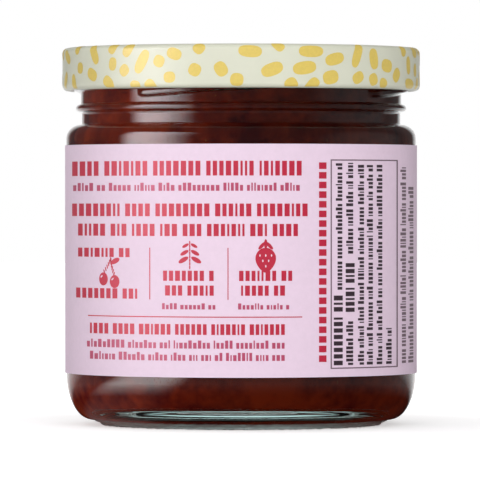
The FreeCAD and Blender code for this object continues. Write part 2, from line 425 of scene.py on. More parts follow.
def cooked_fruit(settings):
    """Cooked fruit jam: dark and wet, redder and browner where the fruit is thinner."""
    material, tree, shader = new_material(
        "cooked fruit jam", Roughness=0.12, IOR=1.45, Specular_IOR_Level=0.04, Subsurface_Weight=0.35,
        Subsurface_Radius=(3 * MM, 0.7 * MM, 0.4 * MM), Subsurface_Scale=1,
    )
    place = add_node(tree, "TexCoord")
    clouds = add_node(
        tree, "TexNoise",
        {"Vector": place.outputs["Object"], "Scale": 1 / (11 * MM), "Detail": 4, "Roughness": 0.55},
    )
    pulp = noise_relief(tree, shader, 2.2 * MM, 3, 0.6, 0.3, 0.2 * MM)
    both = add_node(
        tree, "Math", {0: pulp.outputs["Fac"], 1: 0.35, 2: clouds.outputs["Fac"]}, operation="MULTIPLY_ADD"
    )
    shade = add_node(tree, "ValToRGB", {"Fac": both.outputs[0]})
    for stop, position, rgb in zip(shade.color_ramp.elements, (0.5, 0.85), (settings.deep, settings.bright)):
        stop.position = position
        stop.color = rgba(rgb)
    tree.links.new(shade.outputs["Color"], shader.inputs["Base Color"])
    # painted light: the jam glows, most near the heel and most on the window's side at the left, in place of
    # light that the thick heel of the glass would gather into it
    axes = add_node(tree, "SeparateXYZ", {"Vector": place.outputs["Object"]})
    low = add_node(
        tree, "MapRange",
        {"Value": axes.outputs["Z"], "From Min": 5 * MM, "From Max": 15 * MM, "To Min": 1.0, "To Max": 0.0},
    )
    side = add_node(
        tree, "MapRange",
        {
            "Value": axes.outputs["X"], "From Min": -32 * MM, "From Max": -5 * MM,
            "To Min": 0.4, "To Max": 0.15,
        },
    )
    painted_glow = add_node(
        tree, "Math", {0: low.outputs["Result"], 1: side.outputs["Result"]}, operation="MULTIPLY"
    )
    # the painted glow takes the jam's own colour
    tree.links.new(shade.outputs["Color"], shader.inputs["Emission Color"])
    tree.links.new(painted_glow.outputs[0], shader.inputs["Emission Strength"])
    # where jam wets glass, light that meets it at less than about 24 degrees is all turned back
    graze = add_node(tree, "LayerWeight", {"Blend": 0.5})
    share = add_node(tree, "MapRange", {"Value": graze.outputs["Facing"], "From Min": 0.52, "From Max": 0.62})
    mirror = add_node(tree, "BsdfGlossy", {"Color": (0.86, 1, 1, 1), "Roughness": 0.02})
    both_ways = add_node(
        tree, "MixShader", {0: share.outputs["Result"], 1: shader.outputs["BSDF"], 2: mirror.outputs["BSDF"]}
    )
    tree.links.new(both_ways.outputs["Shader"], tree.nodes["Material Output"].inputs["Surface"])
    return material


def speckled(name, rgb, roughness, grain, strength, specular=0.5):
    """A plain colour with a fine uneven tone: seeds, fruit and inks."""
    material, tree, shader = new_material(name, Roughness=roughness, Specular_IOR_Level=specular)
    noise_tone(tree, shader, rgb, grain, 3, 0.6, 1 - strength, 1 + strength)
    return material


def label_stock(settings):
    """Coated label paper: matt, with a faint tooth and a faint mottle in the pink."""
    material, tree, shader = new_material("coated label paper", Roughness=0.62, Specular_IOR_Level=0.35)
    noise_tone(tree, shader, settings.pink, 1.2 * MM, 4, 0.65, 0.975, 1.02)
    noise_relief(tree, shader, 0.25 * MM, 2, 0.5, 0.25, 0.03 * MM)
    return material


def cap_enamel(settings):
    """Stoved enamel on tinplate: smooth and half glossy, with a faint orange-peel."""
    material, tree, shader = new_material(
        "stoved enamel on tinplate", Roughness=0.4, Specular_IOR_Level=0.3, Coat_Weight=0.08,
        Coat_Roughness=0.2,
    )
    noise_tone(tree, shader, settings.enamel, 6 * MM, 3, 0.6, 0.975, 1.015)
    noise_relief(tree, shader, 0.9 * MM, 1, 0.5, 0.12, 0.02 * MM)
    return material


# ---- glass ------------------------------------------------------------------------------------------
def cavity_outline(settings, reach, top):
    """The inside of the glass from the axis up to a height in the neck, moved reach into the wall."""
    neck = BODY_RADIUS - settings.shoulder_step + settings.finish_step
    mouth = neck - settings.neck_wall + reach
    wall = CAVITY_RADIUS + reach
    floor = FLOOR_HEIGHT - reach
    shoulder = GLASS_HEIGHT - settings.neck_length
    floor_edge = CAVITY_RADIUS - settings.heel_inset + settings.foot_step
    line = Outline(0, floor + settings.floor_crown)
    line.bow(floor_edge, floor, 12)
    line.corner((wall, floor), (wall, settings.heel_height), 20)
    line.to(wall, shoulder - settings.inner_shoulder, 6)
    line.ease(mouth, shoulder, 14)
    line.to(mouth, top, 4)
    return line.points


def glass_outline(settings):
    """The whole glass, from under the base round the outside, over the rim and down inside."""
    foot_top = BODY_RADIUS - settings.heel_inset - settings.foot_step
    foot = foot_top - settings.foot_slope
    land = foot - settings.foot_edge
    neck = BODY_RADIUS - settings.shoulder_step
    finish = neck + settings.finish_step
    shoulder = GLASS_HEIGHT - settings.neck_length
    bead = GLASS_HEIGHT - settings.bead_drop
    nose = neck + settings.bead_depth
    rounding = settings.bead_radius
    rim = settings.rim_rounding
    mouth = finish - settings.neck_wall
    fillet = settings.neck_fillet
    heel = BODY_RADIUS - settings.heel_inset
    foot_height = settings.foot_height
    line = Outline(0, settings.push_up)
    line.bow(land - settings.foot_land, 0, 10)
    line.to(land, 0, 4)
    line.corner((foot, 0), (foot, settings.foot_edge), 4)
    line.to(foot_top, foot_height - settings.foot_step / 2, 2)
    line.corner((foot_top, foot_height), (heel, foot_height), 4)
    line.corner((BODY_RADIUS, foot_height), (BODY_RADIUS, settings.heel_height), 26)
    line.to(BODY_RADIUS, shoulder - settings.shoulder_step + fillet, 8)
    line.corner((BODY_RADIUS, shoulder), (neck + fillet, shoulder), 14)
    line.corner((neck, shoulder), (neck, shoulder + fillet), 5)
    line.to(neck, bead - rounding - MM / 4, 5)
    line.corner((neck, bead - rounding), (neck + MM / 4, bead - rounding), 3)
    line.corner((nose, bead - rounding), (nose, bead), 8)
    line.corner((nose, bead + rounding), (finish + MM / 4, bead + rounding), 8)
    line.corner((finish, bead + rounding), (finish, bead + rounding + MM / 4), 3)
    line.to(finish, GLASS_HEIGHT - rim, 62)
    line.corner((finish, GLASS_HEIGHT), (finish - rim, GLASS_HEIGHT), 6)
    line.to(mouth + rim, GLASS_HEIGHT, 2)
    line.corner((mouth, GLASS_HEIGHT), (mouth, GLASS_HEIGHT - rim), 6)
    inside = cavity_outline(settings, 0, GLASS_HEIGHT - rim)
    return line.points + inside[::-1][1:]


def thread_weight(settings, around, height):
    """How high the threads stand at an angle and a height on the finish, from 0 to 1."""
    half = settings.thread_width / 2
    radius = BODY_RADIUS - settings.shoulder_step
    low = GLASS_HEIGHT - settings.thread_drop
    best = 0
    for number in range(settings.thread_starts):
        start = settings.thread_angle + number * TURN / settings.thread_starts
        turned = (around - start + math.pi / 4) % TURN - math.pi / 4
        along = min(max(turned, 0), settings.thread_span)
        middle = low + half + settings.thread_lead * along / TURN
        away = math.hypot((turned - along) * radius, height - middle)
        best = max(best, 1 - smooth_step(half - settings.thread_flank, half, away))
    return best


def cut_seam(piece, settings):
    """Cuts three edge loops round the glass at the mould seam, its middle and its two sides."""
    normal = (math.cos(settings.seam_angle), math.sin(settings.seam_angle), 0)
    start_piece(piece)
    bpy.ops.object.mode_set(mode="EDIT")
    for side in (-0.5, 0, 0.5):
        place = [n * side * settings.seam_width for n in normal]
        bpy.ops.mesh.select_all(action="SELECT")
        bpy.ops.mesh.bisect(plane_co=place, plane_no=normal)
    bpy.ops.object.mode_set(mode="OBJECT")
    return Vector(normal)


class JAMJAR_OT_glass(bpy.types.Operator):
    """Models the glass with its threads, bead, mould seam and stippled foot"""

    bl_idname = "jamjar.glass"
    bl_label = "Glass"

    def execute(self, context):
        settings = context.scene.jam_jar_glass
        piece = spin_outline("glass", glass_outline(settings), 320)
        seam = cut_seam(piece, settings)
        neck = BODY_RADIUS - settings.shoulder_step
        finish = neck + settings.finish_step
        thread_low = GLASS_HEIGHT - settings.bead_drop + settings.bead_radius + MM / 4
        thread_high = GLASS_HEIGHT - settings.rim_rounding
        outside = neck - settings.neck_wall / 2
        threads, line, stipple = {}, {}, {}
        rng = random.Random(2)
        for vertex in piece.data.vertices:
            radius = math.hypot(vertex.co.x, vertex.co.y)
            height = vertex.co.z
            around = front_angle(vertex.co)
            if radius > finish - MM / 10 and thread_low < height < thread_high:
                weight = thread_weight(settings, around, height)
                if weight > 0:
                    threads[vertex.index] = weight
            on_seam = abs(vertex.co.dot(seam)) < MM / 1000
            if on_seam and radius > outside and settings.foot_height < height < thread_high:
                line[vertex.index] = 1
            if height < settings.foot_height * 0.7 and radius > BODY_RADIUS / 2:
                stipple[vertex.index] = rng.random()
        push_out(piece, "threads", threads, settings.thread_depth)
        push_out(piece, "seam", line, settings.seam_depth)
        push_out(piece, "stipple", stipple, -settings.stipple_depth)
        clear = moulded_glass(settings, "moulded soda-lime glass", 0.015, 1)
        stippled = moulded_glass(settings, "stippled soda-lime glass", 0.5, 0.85)
        finish_piece(piece, "glass", clear, stippled, node="jar", smooth=70)
        for face in piece.data.polygons:
            low = face.center.z < settings.foot_height * 0.9
            face.material_index = int(low and face.center.xy.length > BODY_RADIUS * 0.7)
        return {"FINISHED"}


# ---- jam --------------------------------------------------------------------------------------------
class JAMJAR_OT_jam(bpy.types.Operator):
    """Models the jam up to its level, reaching just into the glass"""

    bl_idname = "jamjar.jam"
    bl_label = "Jam"

    def execute(self, context):
        settings = context.scene.jam_jar_jam
        glass = context.scene.jam_jar_glass
        points = cavity_outline(glass, settings.reach, FILL_HEIGHT)
        edge = points[-1][0]
        line = Outline(*points[-1])
        dip = FILL_HEIGHT - settings.meniscus
        line.corner((edge - settings.meniscus, dip), (edge - 3 * settings.meniscus, dip), 6)
        line.to(0, dip, 16)
        piece = spin_outline("jam_fill", points + line.points[1:], 160)
        rng = random.Random(5)
        lumps = []
        for _ in range(30):
            radius, around = rng.uniform(0, edge * 0.8), rng.uniform(0, TURN)
            lumps.append((radius * math.cos(around), radius * math.sin(around), rng.uniform(2, 5) * MM))
        weights = {}
        for vertex in piece.data.vertices:
            x, y, z = vertex.co
            if z > dip - MM / 100 and math.hypot(x, y) < edge - settings.meniscus:
                weights[vertex.index] = max(
                    1 - smooth_step(0, size, math.hypot(x - at_x, y - at_y)) for at_x, at_y, size in lumps
                )
        push_out(piece, "lumps", weights, settings.meniscus * 0.8)
        finish_piece(piece, "jam", cooked_fruit(settings), node="jam", smooth=70)
        return {"FINISHED"}


def jam_wall(glass, settings):
    """The stretches of the jam's outline that show through the glass, each as its two points."""
    points = cavity_outline(glass, settings.reach, FILL_HEIGHT)
    return [
        (a, b) for a, b in zip(points, points[1:])
        if min(a[0], b[0]) > CAVITY_RADIUS * 0.86 and a[1] > glass.heel_height * 0.85
    ]


def scatter_on_wall(name, glass, settings, number, size, proud, flat, detail, seed):
    """One piece of many small lumps that lie against the glass, each turned its own way.

    Size is a lump's usual length, proud is how far it reaches past the jam, and flat is its thickness as a
    share of its length.
    """
    rng = random.Random(seed)
    wall = jam_wall(glass, settings)
    lengths = [math.hypot(b[0] - a[0], b[1] - a[1]) for a, b in wall]
    piece = new_sheet(name)
    for _ in range(number):
        (r0, z0), (r1, z1) = rng.choices(wall, lengths)[0]
        t = rng.random()
        radius, height = r0 + (r1 - r0) * t, z0 + (z1 - z0) * t
        slope = math.atan2(r1 - r0, z1 - z0)
        around = rng.uniform(0, TURN)
        long = size * rng.uniform(0.7, 1.2)
        wide = long * rng.uniform(0.45, 0.75)
        thick = long * flat
        level = Vector((math.cos(around), math.sin(around), 0))
        out = level * math.cos(slope) + Vector((0, 0, -math.sin(slope)))
        centre = level * radius + Vector((0, 0, height)) - out * (thick / 2 - proud)
        turned = out.to_track_quat("X", "Z") @ Euler((rng.uniform(0, TURN), 0, 0)).to_quaternion()
        bpy.ops.mesh.primitive_ico_sphere_add(
            subdivisions=detail, radius=0.5, location=centre, rotation=turned.to_euler(),
            scale=(thick, long, wide),
        )
    bpy.ops.object.mode_set(mode="OBJECT")
    return piece


class JAMJAR_OT_fruit(bpy.types.Operator):
    """Models the seeds and the pieces of fruit that lie against the glass"""

    bl_idname = "jamjar.fruit"
    bl_label = "Seeds and fruit"

    def execute(self, context):
        jam, glass = context.scene.jam_jar_jam, context.scene.jam_jar_glass
        seeds = scatter_on_wall("seeds", glass, jam, jam.seed_count, jam.seed_length, 0.03 * MM, 0.5, 2, 11)
        skin = speckled("fruit seed", jam.seed, 0.4, 0.5 * MM, 0.2, 0.04)
        finish_piece(seeds, "jam", skin, smooth=70)
        size, number = jam.fruit_length, jam.fruit_count
        fruit = scatter_on_wall("fruit", glass, jam, number, size, 0.05 * MM, 0.25, 3, 23)
        flesh = speckled("soft fruit", jam.fruit, 0.35, 1.5 * MM, 0.25, 0.04)
        finish_piece(fruit, "jam", flesh, smooth=70)
        return {"FINISHED"}


# ---- label and print --------------------------------------------------------------------------------
def wrap(piece, radius, thickness):
    """Gives a flat sheet that faces -Y its thickness, and wraps it round the axis at a radius."""
    bpy.ops.object.mode_set(mode="OBJECT")
    solidify = piece.modifiers.new("thickness", "SOLIDIFY")
    solidify.thickness = thickness
    solidify.offset = 1
    apply_all(piece)
    bend = piece.modifiers.new("bend", "SIMPLE_DEFORM")
    bend.deform_method = "BEND"
    bend.deform_axis = "Z"
    bend.angle = piece.dimensions.x / radius
    apply_all(piece)
    bpy.ops.object.mode_set(mode="EDIT")
    bpy.ops.mesh.select_all(action="SELECT")
    bpy.ops.transform.translate(value=(0, -radius, 0))
    bpy.ops.object.mode_set(mode="OBJECT")


def block(left, right, low, high, step=1.3 * MM):
    """A flat block of the sheet that is in edit mode: left and right lie along the label."""
    parts = max(1, math.ceil((right - left) / step))
    middle = ((left + right) / 2, 0, (low + high) / 2)
    bpy.ops.mesh.primitive_grid_add(
        x_subdivisions=parts, y_subdivisions=1, size=1, location=middle, rotation=(math.pi / 2, 0, 0)
    )
    bpy.ops.transform.resize(value=(right - left, 1, high - low), center_override=middle)


def oval(across, height, long, wide, turn=0, points=20):
    """A flat oval of the sheet that is in edit mode, turned from level."""
    middle = (across, 0, height)
    bpy.ops.mesh.primitive_circle_add(
        vertices=points, radius=0.5, fill_type="TRIFAN", location=middle, rotation=(math.pi / 2, 0, 0)
    )
    bpy.ops.transform.resize(value=(long, 1, wide), center_override=middle)
    if turn:
        bpy.ops.transform.rotate(value=turn, orient_axis="Y", center_override=middle)


class JAMJAR_OT_label(bpy.types.Operator):
    """Models the paper label, with a gap between its two ends"""

    bl_idname = "jamjar.label"
    bl_label = "Label"

    def execute(self, context):
        settings = context.scene.jam_jar_label
        radius = LABEL_RADIUS - settings.paper
        right = radius * settings.gap_angle - settings.gap / 2
        left = radius * (settings.gap_angle - TURN) + settings.gap / 2
        piece = new_sheet("label_paper")
        block(left, right, LABEL_LOW, LABEL_HIGH, 0.7 * MM)
        wrap(piece, radius, settings.paper)
        finish_piece(piece, "label_paper", label_stock(settings), node="label", smooth=30)
        return {"FINISHED"}


# middles of the three emblems, in millimetres as read from the front, and the cherries' height and size
CHERRY_ACROSS, SPRIG_ACROSS, BERRY_ACROSS = -26.8, -10.4, 5.0
CHERRY_HEIGHT, CHERRY_SIZE = 31.2, 6.2
CHERRIES = ((-0.27, -0.22), (0.27, -0.3))    # each cherry's place beside and above, as shares of the size


def around_label(settings, offset):
    """Distance along the label to what shows at an offset from the middle, read from the front."""
    turn = math.asin(offset / LABEL_RADIUS)
    for _ in range(4):
        nearer = 1 - LABEL_RADIUS / settings.reading_distance * math.cos(turn)
        turn = math.asin(offset * nearer / LABEL_RADIUS)
    return LABEL_RADIUS * turn


def mark(settings, left, right, low, high):
    """A printed block whose sides are given in millimetres as read from the front."""
    block(around_label(settings, left * MM), around_label(settings, right * MM), low * MM, high * MM)


BLOCK_WIDTHS = (0.3, 0.58, 0.62, 0.66, 0.72)    # as shares of a row's pitch


def mark_row(settings, rng, left, right, low, high, pitch, words=(3, 8), upright=False, even=True):
    """A row of small blocks in groups, in place of a line of print.  An upright row runs up the label.

    Words is the fewest and most blocks of a group.  Blocks of an even row are all as tall as the row; in an
    uneven row most stop lower.
    """
    cursor, end = (low, high) if upright else (left, right)
    foot, head = (left, right) if upright else (low, high)
    while cursor < end - pitch * 0.5:
        for _ in range(rng.randint(*words)):
            wide = pitch * rng.choice(BLOCK_WIDTHS)
            if cursor + wide > end:
                break
            tall = head if even or rng.random() < 0.3 else foot + (head - foot) * 0.72
            if upright:
                mark(settings, head - tall + foot, head, cursor, cursor + wide)
            else:
                mark(settings, cursor, cursor + wide, foot, tall)
            cursor += wide + pitch * 0.3
        cursor += pitch * 0.5


def print_piece(name, ink, draw, thickness):
    """A printed layer: draw adds flat blocks to a sheet, and the sheet is wrapped round the label."""
    piece = new_sheet(name)
    draw()
    wrap(piece, LABEL_RADIUS, thickness)
    finish_piece(piece, "label_paper", ink, smooth=30)


class JAMJAR_OT_front_print(bpy.types.Operator):
    """Prints the front of the label: rows of blocks, two dividers, a panel and upright rows"""

    bl_idname = "jamjar.front_print"
    bl_label = "Front print"

    def execute(self, context):
        settings = context.scene.jam_jar_label
        mark_here = partial(mark, settings)

        def heavy():
            row = partial(mark_row, settings, random.Random(3))
            row(-34.2, 13.3, 50.3, 53.2, 1.5)
            row(-34.2, 13.5, 42.3, 44.8, 1.45)
            row(-33.0, 13.0, 38.4, 40.8, 1.45)
            row(-30.6, 9.1, 19.0, 21.1, 1.2)
            mark_here(-31.0, 12.4, 22.4, 22.6)
            for divider in (-18.5, -2.65):
                mark_here(divider - 0.09, divider + 0.09, 25.9, 36.1)
            row(-33.0, -21.5, 34.2, 36.0, 1.35)
            row(-33.4, -20.6, 26.0, 28.0, 1.35)
            for middle in (SPRIG_ACROSS, BERRY_ACROSS):
                row(middle - 5.4, middle + 5.4, 29.6, 31.6, 1.35)
                row(middle - 5.0, middle + 5.0, 26.7, 28.7, 1.35)
            for number in range(21):
                low = 13.6 + number * 1.9
                mark_here(15.8, 17.3, low, low + 1.3)

        def fine():
            row = partial(mark_row, settings, random.Random(8), even=False)
            row(-34.0, 12.9, 47.3, 48.9, 1.0, (2, 9))
            row(-31.2, 9.5, 16.3, 17.9, 0.95, (2, 9))
            row(-30.6, 9.1, 13.9, 15.5, 0.95, (2, 9))
            for middle in (SPRIG_ACROSS, BERRY_ACROSS):
                row(middle - 5.6, middle + 5.6, 24.0, 25.2, 0.9, (3, 8))

        def panel():
            row = partial(mark_row, settings, random.Random(13), upright=True)
            row(18.8, 20.6, 12.9, 26.9, 1.45, (6, 9))
            row(19.2, 20.5, 27.8, 53.0, 0.8, even=False)
            row(21.3, 22.7, 12.9, 22.6, 0.8, even=False)
            row(21.2, 23.0, 23.4, 34.1, 1.25, (5, 8))
            row(21.3, 22.7, 34.9, 53.0, 0.8, even=False)
            for left, right in ((23.7, 24.9), (25.5, 26.7), (27.5, 28.6)):
                row(left, right, 12.9, 53.0, 0.8, even=False)
            row(29.4, 30.5, 12.9, 20.6, 0.8, even=False)

        def beside_panel():
            row = partial(mark_row, settings, random.Random(21), upright=True, even=False)
            row(32.3, 33.4, 12.9, 52.8, 0.8, (3, 9))
            row(33.9, 34.9, 12.9, 48.6, 0.8, (3, 9))
            left, right, low, high, line = 18.15, 31.75, 12.2, 53.5, 0.24
            mark_here(left, left + line, low, high)
            mark_here(right - line, right, low, high)
            mark_here(left + line, right - line, low, low + line)
            mark_here(left + line, right - line, high - line, high)

        for name, tone, draw in (
            ("print_heavy", "crimson", heavy), ("print_fine", "rose", fine),
            ("print_panel", "dark", panel), ("print_beside_panel", "grey", beside_panel),
        ):
            ink = speckled(tone + " label ink", getattr(settings, tone), 0.5, INK_GRAIN, 0.06)
            print_piece(name, ink, draw, settings.ink)
        return {"FINISHED"}


def cherries(across, height, size):
    """Two cherries on their stalks, with a leaf."""
    for side, drop in CHERRIES:
        oval(across + side * size, height + drop * size, size * 0.44, size * 0.42)
        for part in range(6):
            t = (part + 0.5) / 6
            x = across + side * size * (1 - t) ** 1.5 + size * 0.1 * t
            z = height + drop * size + size * 0.2 + size * (0.3 - drop) * t * 0.9
            oval(x, z, size * 0.15, size * 0.055, math.pi / 2 - side * 1.6 * (1 - t), 8)
    oval(across + size * 0.3, height + size * 0.36, size * 0.4, size * 0.17, 0.35)


def sprig(across, height, size):
    """A stalk with paired leaves."""
    for part in range(8):
        oval(across, height + size * (part / 7 - 0.5) * 0.9, size * 0.15, size * 0.05, math.pi / 2, 8)
    for row, rise in enumerate((-0.3, -0.02, 0.26)):
        reach = size * (0.42 - row * 0.07)
        for side in (-1, 1):
            x, z = across + side * reach * 0.58, height + rise * size + reach * 0.28
            oval(x, z, reach, reach * 0.4, -side * 0.5)


def strawberry(across, height, size):
    """A berry that narrows to its tip, under three sepals."""
    bpy.ops.mesh.select_all(action="DESELECT")
    oval(across, height - size * 0.1, size * 0.74, size * 0.78, 0, 28)
    bpy.ops.mesh.subdivide(number_cuts=3)
    mesh = bmesh.from_edit_mesh(bpy.context.object.data)
    for vertex in mesh.verts:
        if vertex.select:
            down = max(0, (height - vertex.co.z) / (size * 0.5))
            vertex.co.x = across + (vertex.co.x - across) * (1 - 0.38 * down ** 2)
            vertex.co.z -= size * 0.1 * down
    bmesh.update_edit_mesh(bpy.context.object.data)
    for turn in (-0.75, 0, 0.75):
        x = across + math.sin(turn) * size * 0.2
        oval(x, height + size * (0.42 - 0.08 * abs(turn)), size * 0.34, size * 0.12, math.pi / 2 + turn)


class JAMJAR_OT_emblems(bpy.types.Operator):
    """Prints three plain fruit emblems between the dividers"""

    bl_idname = "jamjar.emblems"
    bl_label = "Emblems"

    def execute(self, context):
        settings = context.scene.jam_jar_label
        crimson = bpy.data.materials["crimson label ink"]

        def emblems():
            cherries(around_label(settings, CHERRY_ACROSS * MM), CHERRY_HEIGHT * MM, CHERRY_SIZE * MM)
            sprig(around_label(settings, SPRIG_ACROSS * MM), 34.7 * MM, 5.4 * MM)
            strawberry(around_label(settings, BERRY_ACROSS * MM), 34.5 * MM, 5.6 * MM)

        def knocked_out():
            across = around_label(settings, BERRY_ACROSS * MM)
            for row, number in enumerate((3, 2, 1)):
                for place in range(number):
                    x = across + (place - (number - 1) / 2) * 1.15 * MM
                    oval(x, (34.6 - row * 1.05) * MM, 0.5 * MM, 0.26 * MM, math.pi / 2, 10)
            middle = around_label(settings, CHERRY_ACROSS * MM)
            for side, drop in CHERRIES:
                x = middle + (side * CHERRY_SIZE - 0.55) * MM
                z = (CHERRY_HEIGHT + drop * CHERRY_SIZE + 0.5) * MM
                oval(x, z, 0.75 * MM, 0.32 * MM, 0.6, 12)

        print_piece("print_emblems", crimson, emblems, settings.ink)
        pink = speckled("pink overprint", settings.pink, 0.6, INK_GRAIN, 0.03)
        print_piece("print_knocked_out", pink, knocked_out, settings.overprint)
        return {"FINISHED"}


class JAMJAR_OT_back_print(bpy.types.Operator):
    """Prints the hidden side: a roundel with a berry, rows of blocks and scattered ovals"""

    bl_idname = "jamjar.back_print"
    bl_label = "Back print"

    def execute(self, context):
        settings = context.scene.jam_jar_label
        middle = -math.pi * LABEL_RADIUS
        centre_height = LABEL_LOW + (LABEL_HIGH - LABEL_LOW) * 0.6
        crimson = bpy.data.materials["crimson label ink"]
        pink = bpy.data.materials["pink overprint"]
        yellow = speckled("yellow label ink", settings.yellow, 0.5, INK_GRAIN, 0.05)
        rng = random.Random(31)

        def disc(radius, rings):
            for ring in range(rings):
                inner, outer = radius * ring / rings, radius * (ring + 1) / rings
                for part in range(64):
                    a, b = TURN * part / 64, TURN * (part + 1) / 64
                    corners = [(outer, a), (outer, b), (inner, b), (inner, a)]
                    yield [(middle + r * math.cos(t), centre_height + r * math.sin(t)) for r, t in corners]

        def heavy():
            mesh = bmesh.from_edit_mesh(bpy.context.object.data)
            for corners in disc(12.2 * MM, 9):
                made = []
                for x, z in corners:
                    if all((Vector((x, 0, z)) - v.co).length > MM / 1000 for v in made):
                        made.append(mesh.verts.new((x, 0, z)))
                mesh.faces.new(made)
            bmesh.ops.remove_doubles(mesh, verts=mesh.verts, dist=MM / 1000)
            bmesh.ops.recalc_face_normals(mesh, faces=mesh.faces)
            if mesh.faces[:] and sum(f.normal.y for f in mesh.faces) > 0:
                bmesh.ops.reverse_faces(mesh, faces=mesh.faces)
            bmesh.update_edit_mesh(bpy.context.object.data)
            for number in range(12):
                across = middle + (number - 5.5) * 2.5 * MM
                if number in (3, 8):
                    continue
                block(across - 0.85 * MM, across + 0.85 * MM, LABEL_LOW + 3.6 * MM, LABEL_LOW + 5.6 * MM)

        def knocked_out():
            for number in range(24):
                turn = TURN * number / 24
                x = middle + 10.6 * MM * math.cos(turn)
                oval(x, centre_height + 10.6 * MM * math.sin(turn), 1.5 * MM, 0.8 * MM, -turn)
            strawberry(middle, centre_height - 0.6 * MM, 13 * MM)

        def ovals():
            placed = []
            for _ in range(4000):
                long = rng.uniform(2.8, 5.6) * MM
                x = middle + rng.uniform(-44, 40) * MM
                z = rng.uniform(LABEL_LOW + 3 * MM, LABEL_HIGH - 3 * MM)
                clear = all(math.hypot(x - a, z - b) > (long + c) / 2 + 0.9 * MM for a, b, c in placed)
                off_disc = math.hypot(x - middle, z - centre_height) > 13.4 * MM + long / 2
                off_row = abs(x - middle) > 17 * MM + long / 2 or z > LABEL_LOW + 7 * MM + long / 2
                if clear and off_disc and off_row:
                    placed.append((x, z, long))
            for x, z, long in placed:
                oval(x, z, long, long * rng.uniform(0.5, 0.68), rng.uniform(0, math.pi), 22)

        print_piece("print_back_heavy", crimson, heavy, settings.ink)
        print_piece("print_back_knocked_out", pink, knocked_out, settings.overprint)
        print_piece("print_back_ovals", yellow, ovals, settings.ink)
        return {"FINISHED"}


# ---- cap --------------------------------------------------------------------------------------------
PANEL_ASIDE = 0.6    # how far the panel's slope moves outwards inside the sheet, as a share of the depth


def cap_top_outline(settings, glass, drop):
    """Button, panel and rim of one face of the sheet, from the axis outwards."""
    mouth = BODY_RADIUS - glass.shoulder_step + glass.finish_step - glass.neck_wall
    panel = CAP_TOP - settings.panel_drop - drop
    foot = mouth - settings.panel_clearance - settings.panel_slope - settings.sheet
    aside = drop * PANEL_ASIDE
    line = Outline(0, panel + settings.button_rise)
    line.to(settings.button_radius, panel + settings.button_rise, 6)
    for radius, slope, end in (
        (settings.button_radius, settings.button_slope, panel),
        (foot + aside, settings.panel_slope, CAP_TOP - drop),
    ):
        line.to(radius, line.points[-1][1], 6)
        start = line.points[-1][1]
        for i in range(1, 9):
            t = i / 8
            line.points.append((radius + slope * t, start + (end - start) * smooth_step(0, 1, t)))
    return line


def cap_skirt_outline(settings, line):
    """Goes on from the rim, over the rounded edge and down the skirt to the outside of the curl."""
    outside, top = CAP_RADIUS - settings.ink, CAP_TOP - settings.ink
    line.to(outside - settings.corner, top, 3)
    line.corner((outside, top), (outside, top - settings.corner), 8)
    line.to(outside, CAP_BOTTOM + settings.curl / 2, 8)
    return line


def cap_outline(settings, glass):
    """The whole cap: outside, rolled edge and inside."""
    line = cap_skirt_outline(settings, cap_top_outline(settings, glass, settings.ink))
    half = settings.curl / 2
    middle_radius, middle_height = CAP_RADIUS - settings.ink - half, CAP_BOTTOM + half
    inner = CAP_RADIUS - settings.sheet
    meets = math.sqrt(half ** 2 - (half - settings.sheet) ** 2)
    last = math.atan2(meets, half - settings.sheet)
    for i in range(1, 21):
        turn = -(TURN - last) * i / 20
        line.points.append((middle_radius + half * math.cos(turn), middle_height + half * math.sin(turn)))
    line.to(inner, CAP_TOP - settings.corner, 4)
    corner = CAP_TOP - settings.sheet
    line.corner((inner, corner), (CAP_RADIUS - settings.corner, corner), 5)
    inside = cap_top_outline(settings, glass, settings.sheet)
    return line.points + inside.points[::-1]


class JAMJAR_OT_cap(bpy.types.Operator):
    """Models the pressed cap with its panel, vacuum button and rolled edge"""

    bl_idname = "jamjar.cap"
    bl_label = "Cap"

    def execute(self, context):
        settings = context.scene.jam_jar_cap
        piece = spin_outline("cap_shell", cap_outline(settings, context.scene.jam_jar_glass), 240)
        finish_piece(piece, "cap_enamel", cap_enamel(settings), node="cap", smooth=60)
        return {"FINISHED"}


def walk(points, distance):
    """Radius and height at a distance along an outline."""
    for (r, z), (next_r, next_z) in zip(points, points[1:]):
        step = math.hypot(next_r - r, next_z - z)
        if distance <= step or (next_r, next_z) == points[-1]:
            t = distance / step
            return r + (next_r - r) * t, z + (next_z - z) * t
        distance -= step


def height_at(points, radius):
    """Height of an outline that runs outwards, at a radius."""
    for (r0, z0), (r1, z1) in zip(points, points[1:]):
        if r1 > r0 and radius <= r1:
            return z0 + (z1 - z0) * (radius - r0) / (r1 - r0)
    return points[-1][1]


